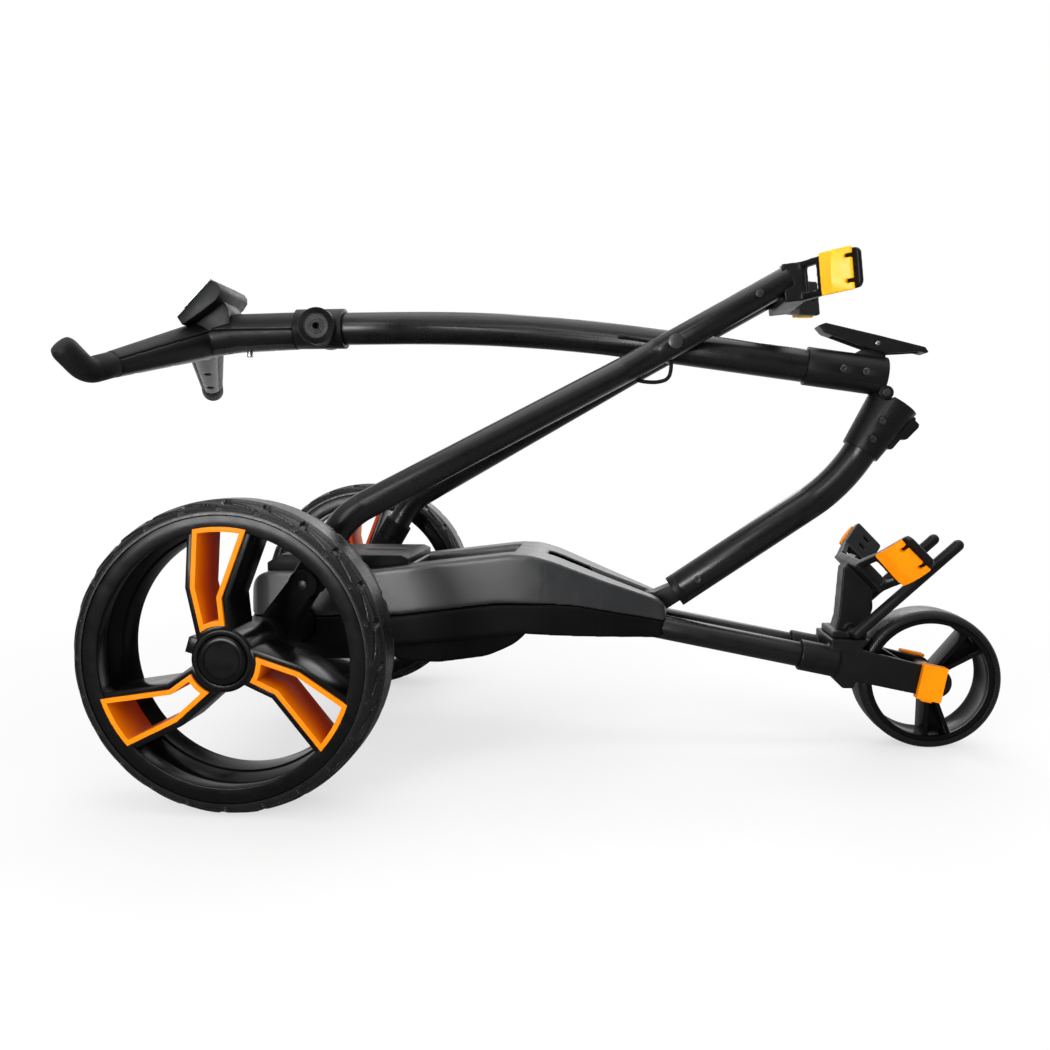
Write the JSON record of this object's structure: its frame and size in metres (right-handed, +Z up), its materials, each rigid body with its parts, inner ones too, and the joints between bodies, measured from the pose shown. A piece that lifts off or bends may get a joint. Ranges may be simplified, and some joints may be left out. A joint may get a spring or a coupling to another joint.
{
  "type": "electric golf trolley",
  "caption": "Three-wheeled electric golf trolley folded flat: battery tray with rear drive, hinged two-part shaft, splayed bag frame and two strap cradles.",
  "frame": {"origin": "on the ground, midway between the grips' rear end and the front tyre's front, on the mid-plane", "axes": "+X forward to the front wheel, +Y to the trolley's left, +Z up"},
  "size_m": [1.019, 0.59, 0.5523],
  "materials": {
    "satin_body": "satin grey-black moulded shell",
    "black_plastic": "fine-grained black moulding",
    "wheel_gloss": "gloss black rim",
    "orange_trim": "smooth orange moulding",
    "tyre_rubber": "dark tyre rubber",
    "grip_rubber": "soft matt rubber",
    "black_tube": "satin black powder coat on aluminium tube",
    "dark_screws": "blackened steel",
    "bright_steel": "bare steel",
    "underside_grey": "grey under-cover",
    "display": "dark display window"
  },
  "bodies": {
    "chassis": {"upper_shell": "satin_body", "lower_shell": "black_plastic", "rear_deck": "black_plastic", "control_unit": "black_plastic", "battery_socket": "black_plastic", "gearbox_case": "black_plastic", "gearbox_cover": "black_plastic", "motor": "bright_steel", "axle_housings": "black_plastic", "axle_bearings": "bright_steel", "bag_frame_pins": "bright_steel", "stem_pivot_pin": "bright_steel", "front_tubes": "black_tube", "front_fork": "black_plastic", "front_axle": "bright_steel", "axle_clips": "orange_trim", "lower_cradle": "black_plastic", "lower_cradle_covers": "orange_trim"},
    "rear_axle": {"drive_axle": "bright_steel", "axle_gear": "bright_steel"},
    "motor_output": {"motor_pinion": "bright_steel"},
    "right_wheel": {"rear_tyre_right": "tyre_rubber", "rear_rim_right": "wheel_gloss", "spoke_inserts_right": "orange_trim"},
    "right_button": {"hub_button_right": "wheel_gloss"},
    "left_wheel": {"rear_tyre_left": "tyre_rubber", "rear_rim_left": "wheel_gloss", "spoke_inserts_left": "orange_trim"},
    "left_button": {"hub_button_left": "wheel_gloss"},
    "front_wheel": {"front_tyre": "tyre_rubber", "front_rim": "wheel_gloss"},
    "stem": {"stem_knuckle": "black_plastic", "stem_tube": "black_tube", "stem_sleeve": "black_plastic", "latch_catch": "black_plastic", "stem_screws": "dark_screws"},
    "handle": {"handle_tube": "black_tube", "handle_sleeve": "black_plastic", "hinge_pin": "dark_screws", "pivot_bush": "black_plastic", "handle_screws": "dark_screws", "handle_cable": "grip_rubber", "handle_clamp": "black_plastic", "handle_frame": "black_plastic", "handle_underside": "underside_grey", "handle_grips": "grip_rubber", "console_case": "black_plastic", "console_screen": "display", "park_stud": "bright_steel"},
    "dial": {"speed_dial": "orange_trim"},
    "latch": {"latch_lever": "black_plastic", "latch_pin": "bright_steel"},
    "bag_frame": {"bag_tube_right": "black_tube", "bag_tube_left": "black_tube", "bag_feet": "black_plastic", "upper_cradle": "black_plastic", "upper_cradle_covers": "orange_trim", "bag_frame_bolts": "dark_screws", "bag_frame_cable": "grip_rubber"}
  },
  "joints": [
    {"name": "axle_spin", "type": "hinge", "parent": "chassis", "child": "rear_axle", "pos_m": [-0.2895, 0, 0.1475], "axis": [0, 1, 0], "continuous": true},
    {"name": "pinion_spin", "type": "hinge", "parent": "chassis", "child": "motor_output", "pos_m": [-0.2415, 0, 0.1475], "axis": [0, 1, 0], "continuous": true},
    {"name": "right_wheel_release", "type": "slide", "parent": "rear_axle", "child": "right_wheel", "axis": [0, -1, 0], "range_m": [0, 0.07]},
    {"name": "left_wheel_release", "type": "slide", "parent": "rear_axle", "child": "left_wheel", "axis": [0, 1, 0], "range_m": [0, 0.07]},
    {"name": "right_button_press", "type": "slide", "parent": "right_wheel", "child": "right_button", "axis": [0, 1, 0], "range_m": [0, 0.0035], "stiffness_N_per_m": 800},
    {"name": "left_button_press", "type": "slide", "parent": "left_wheel", "child": "left_button", "axis": [0, -1, 0], "range_m": [0, 0.0035], "stiffness_N_per_m": 800},
    {"name": "front_wheel_spin", "type": "hinge", "parent": "chassis", "child": "front_wheel", "pos_m": [0.4295, 0, 0.08], "axis": [0, 1, 0], "continuous": true},
    {"name": "stem_fold", "type": "hinge", "parent": "chassis", "child": "stem", "pos_m": [0.1145, 0, 0.161], "axis": [0, -1, 0], "range_deg": [0, 76]},
    {"name": "handle_fold", "type": "hinge", "parent": "stem", "child": "handle", "pos_m": [0.3735, 0, 0.406], "axis": [0, -1, 0], "range_deg": [-115.43, 0]},
    {"name": "bag_frame_fold", "type": "hinge", "parent": "chassis", "child": "bag_frame", "pos_m": [-0.2495, 0, 0.203], "axis": [0, -1, 0], "range_deg": [0, 51.45]},
    {"name": "latch_lever_turn", "type": "hinge", "parent": "handle", "child": "latch", "pos_m": [0.3645, 0, 0.462], "axis": [0, -1, 0], "range_deg": [-7, 0]},
    {"name": "speed_dial_turn", "type": "hinge", "parent": "handle", "child": "dial", "pos_m": [-0.43414, 0, 0.50336], "axis": [-0.7071, 0, 0.7071], "range_deg": [-270, 0]}
  ],
  "couplings": [
    {"joint": "pinion_spin", "follows": "axle_spin", "ratio": -2},
    {"joint": "handle_fold", "follows": "stem_fold", "ratio": -1.5162},
    {"joint": "bag_frame_fold", "follows": "stem_fold", "ratio": 0.67434}
  ]
}
